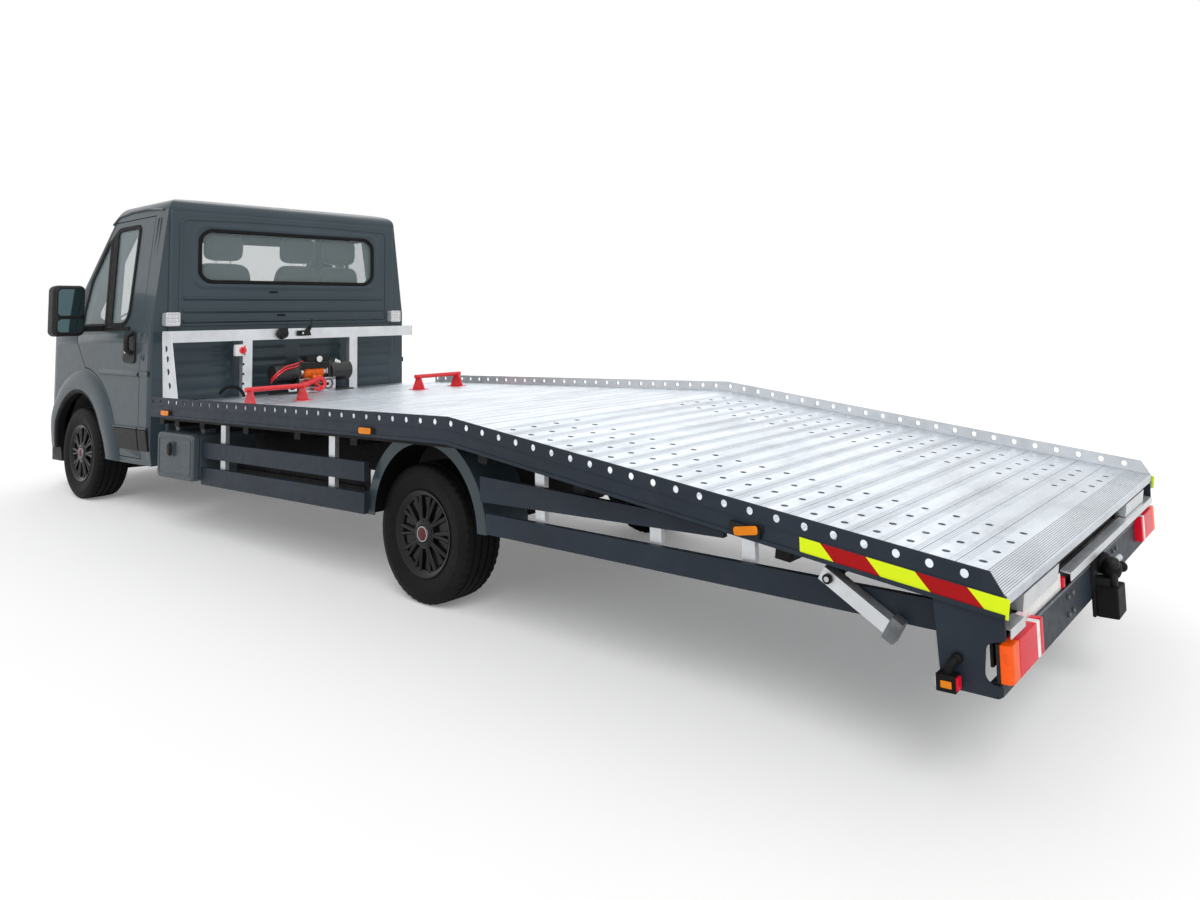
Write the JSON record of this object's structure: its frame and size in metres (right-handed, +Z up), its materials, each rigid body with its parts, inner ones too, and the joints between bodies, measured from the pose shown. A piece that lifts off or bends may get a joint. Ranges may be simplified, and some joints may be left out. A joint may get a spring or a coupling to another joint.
{
  "type": "car transporter truck",
  "caption": "Three-seat chassis cab truck with a fixed sloping aluminium car-transporter deck, winch, strap-hole rims, toolbox and stored ramps.",
  "frame": {"origin": "middle of the whole machine's box, on the floor", "axes": "+X towards the cab's nose, +Y to the driver's left, +Z up; both ends of the body stand on the same floor and the body is raked nose-down"},
  "size_m": [7.9455, 2.714, 2.2344],
  "materials": {
    "body_paint": "gloss",
    "bumper_paint": "gloss",
    "black_plastic": "grained",
    "glass": "clear",
    "lens": "clear",
    "red_lens": "clear",
    "amber_lens": "clear",
    "cloth": "woven",
    "floor_paint": "satin",
    "chassis_black": "satin",
    "engine_metal": "rough",
    "exhaust_steel": "dull",
    "tyre_rubber": "matt",
    "rim_black": "satin",
    "deck_aluminium": "mill",
    "anthracite": "satin",
    "stop_red": "satin",
    "winch_black": "satin",
    "drum_steel": "brushed",
    "toolbox_paint": "satin",
    "plate_white": "satin",
    "galvanised": "galvanised"
  },
  "bodies": {
    "chassis": {"cab_roof": "body_paint", "cab_rear_wall": "body_paint", "cab_side_left": "body_paint", "cab_side_right": "body_paint", "front_wings": "body_paint", "front_bumper": "bumper_paint", "headlamps": "lens", "windscreen": "glass", "rear_window": "glass", "cab_floor": "floor_paint", "dashboard": "black_plastic", "seats": "cloth", "chassis_frame": "chassis_black", "engine": "engine_metal", "fuel_tank": "black_plastic", "exhaust": "exhaust_steel", "front_suspension": "chassis_black", "rear_axle": "chassis_black", "side_rails": "anthracite", "deck_planks": "deck_aluminium", "headboard": "deck_aluminium", "winch": "winch_black", "wheel_stops": "stop_red", "side_guards": "anthracite", "toolbox": "toolbox_paint", "rear_mudguards": "body_paint", "rear_bumper": "anthracite", "tail_lamps": "red_lens", "number_plate": "plate_white", "tow_hitch": "galvanised", "deck_frame": "chassis_black", "marker_lamps": "amber_lens", "work_lamps": "black_plastic"},
    "door_left_body": {"door_left": "body_paint", "door_glass_left": "glass", "mirror_left": "black_plastic"},
    "door_right_body": {"door_right": "body_paint", "door_glass_right": "glass", "mirror_right": "black_plastic"},
    "bonnet_body": {"bonnet": "body_paint"},
    "steer_left_body": {"knuckle_left": "chassis_black"},
    "steer_right_body": {"knuckle_right": "chassis_black"},
    "wheel_front_left": {"tyre_front_left": "tyre_rubber", "rim_front_left": "rim_black"},
    "wheel_front_right": {"tyre_front_right": "tyre_rubber", "rim_front_right": "rim_black"},
    "wheel_rear_left": {"tyre_rear_left": "tyre_rubber", "rim_rear_left": "rim_black"},
    "wheel_rear_right": {"tyre_rear_right": "tyre_rubber", "rim_rear_right": "rim_black"},
    "toolbox_lid_body": {"toolbox_lid": "toolbox_paint"},
    "support_leg_left_body": {"support_leg_left": "galvanised"},
    "support_leg_right_body": {"support_leg_right": "galvanised"},
    "support_foot_left_body": {"support_foot_left": "galvanised"},
    "support_foot_right_body": {"support_foot_right": "galvanised"},
    "ramp_left_body": {"ramp_left": "deck_aluminium"},
    "ramp_right_body": {"ramp_right": "deck_aluminium"},
    "winch_drum_body": {"winch_drum": "drum_steel"}
  },
  "joints": [
    {"name": "door_left_hinge", "type": "hinge", "parent": "chassis", "child": "door_left_body", "pos_m": [3.15406, 1.025, 0.96176], "axis": [-0.0332, 0, -0.9994], "range_deg": [0, 70]},
    {"name": "door_right_hinge", "type": "hinge", "parent": "chassis", "child": "door_right_body", "pos_m": [3.15406, -1.025, 0.96176], "axis": [0.0332, 0, 0.9994], "range_deg": [0, 70]},
    {"name": "bonnet_hinge", "type": "hinge", "parent": "chassis", "child": "bonnet_body", "pos_m": [3.57946, 0, 1.2678], "axis": [0, -1, 0], "range_deg": [0, 50]},
    {"name": "steer_left", "type": "hinge", "parent": "chassis", "child": "steer_left_body", "pos_m": [3.01615, 0.7595, 0.341], "axis": [0.0332, 0, 0.9994], "range_deg": [-35, 35]},
    {"name": "steer_right", "type": "hinge", "parent": "chassis", "child": "steer_right_body", "pos_m": [3.01615, -0.7595, 0.341], "axis": [0.0332, 0, 0.9994], "range_deg": [-35, 35]},
    {"name": "wheel_front_left_spin", "type": "hinge", "parent": "steer_left_body", "child": "wheel_front_left", "pos_m": [3.01615, 0.915, 0.341], "axis": [0, 1, 0], "continuous": true},
    {"name": "wheel_rear_left_spin", "type": "hinge", "parent": "chassis", "child": "wheel_rear_left", "pos_m": [-1.01885, 0.8495, 0.341], "axis": [0, 1, 0], "continuous": true},
    {"name": "wheel_front_right_spin", "type": "hinge", "parent": "steer_right_body", "child": "wheel_front_right", "pos_m": [3.01615, -0.915, 0.341], "axis": [0, 1, 0], "continuous": true},
    {"name": "wheel_rear_right_spin", "type": "hinge", "parent": "chassis", "child": "wheel_rear_right", "pos_m": [-1.01885, -0.8495, 0.341], "axis": [0, 1, 0], "continuous": true},
    {"name": "toolbox_lid_hinge", "type": "hinge", "parent": "chassis", "child": "toolbox_lid_body", "pos_m": [1.2796, 1.072, 0.36168], "axis": [-0.9994, 0, 0.0332], "range_deg": [0, 90]},
    {"name": "support_leg_left_hinge", "type": "hinge", "parent": "chassis", "child": "support_leg_left_body", "pos_m": [-3.32586, 1.09, 0.58228], "axis": [0, -1, 0], "range_deg": [0, 59]},
    {"name": "support_foot_left_slide", "type": "slide", "parent": "support_leg_left_body", "child": "support_foot_left_body", "axis": [-0.8738, 0, -0.4863], "range_m": [0, 0.18]},
    {"name": "ramp_left_slide", "type": "slide", "parent": "chassis", "child": "ramp_left_body", "axis": [-0.9945, 0, -0.1046], "range_m": [0, 1.9]},
    {"name": "support_leg_right_hinge", "type": "hinge", "parent": "chassis", "child": "support_leg_right_body", "pos_m": [-3.32586, -1.09, 0.58228], "axis": [0, -1, 0], "range_deg": [0, 59]},
    {"name": "support_foot_right_slide", "type": "slide", "parent": "support_leg_right_body", "child": "support_foot_right_body", "axis": [-0.8738, 0, -0.4863], "range_m": [0, 0.18]},
    {"name": "ramp_right_slide", "type": "slide", "parent": "chassis", "child": "ramp_right_body", "axis": [-0.9945, 0, -0.1046], "range_m": [0, 1.9]},
    {"name": "winch_drum_spin", "type": "hinge", "parent": "chassis", "child": "winch_drum_body", "pos_m": [1.69274, -0.04, 0.94628], "axis": [0, 1, 0], "continuous": true}
  ],
  "couplings": [
    {"joint": "steer_right", "follows": "steer_left", "ratio": 1}
  ]
}
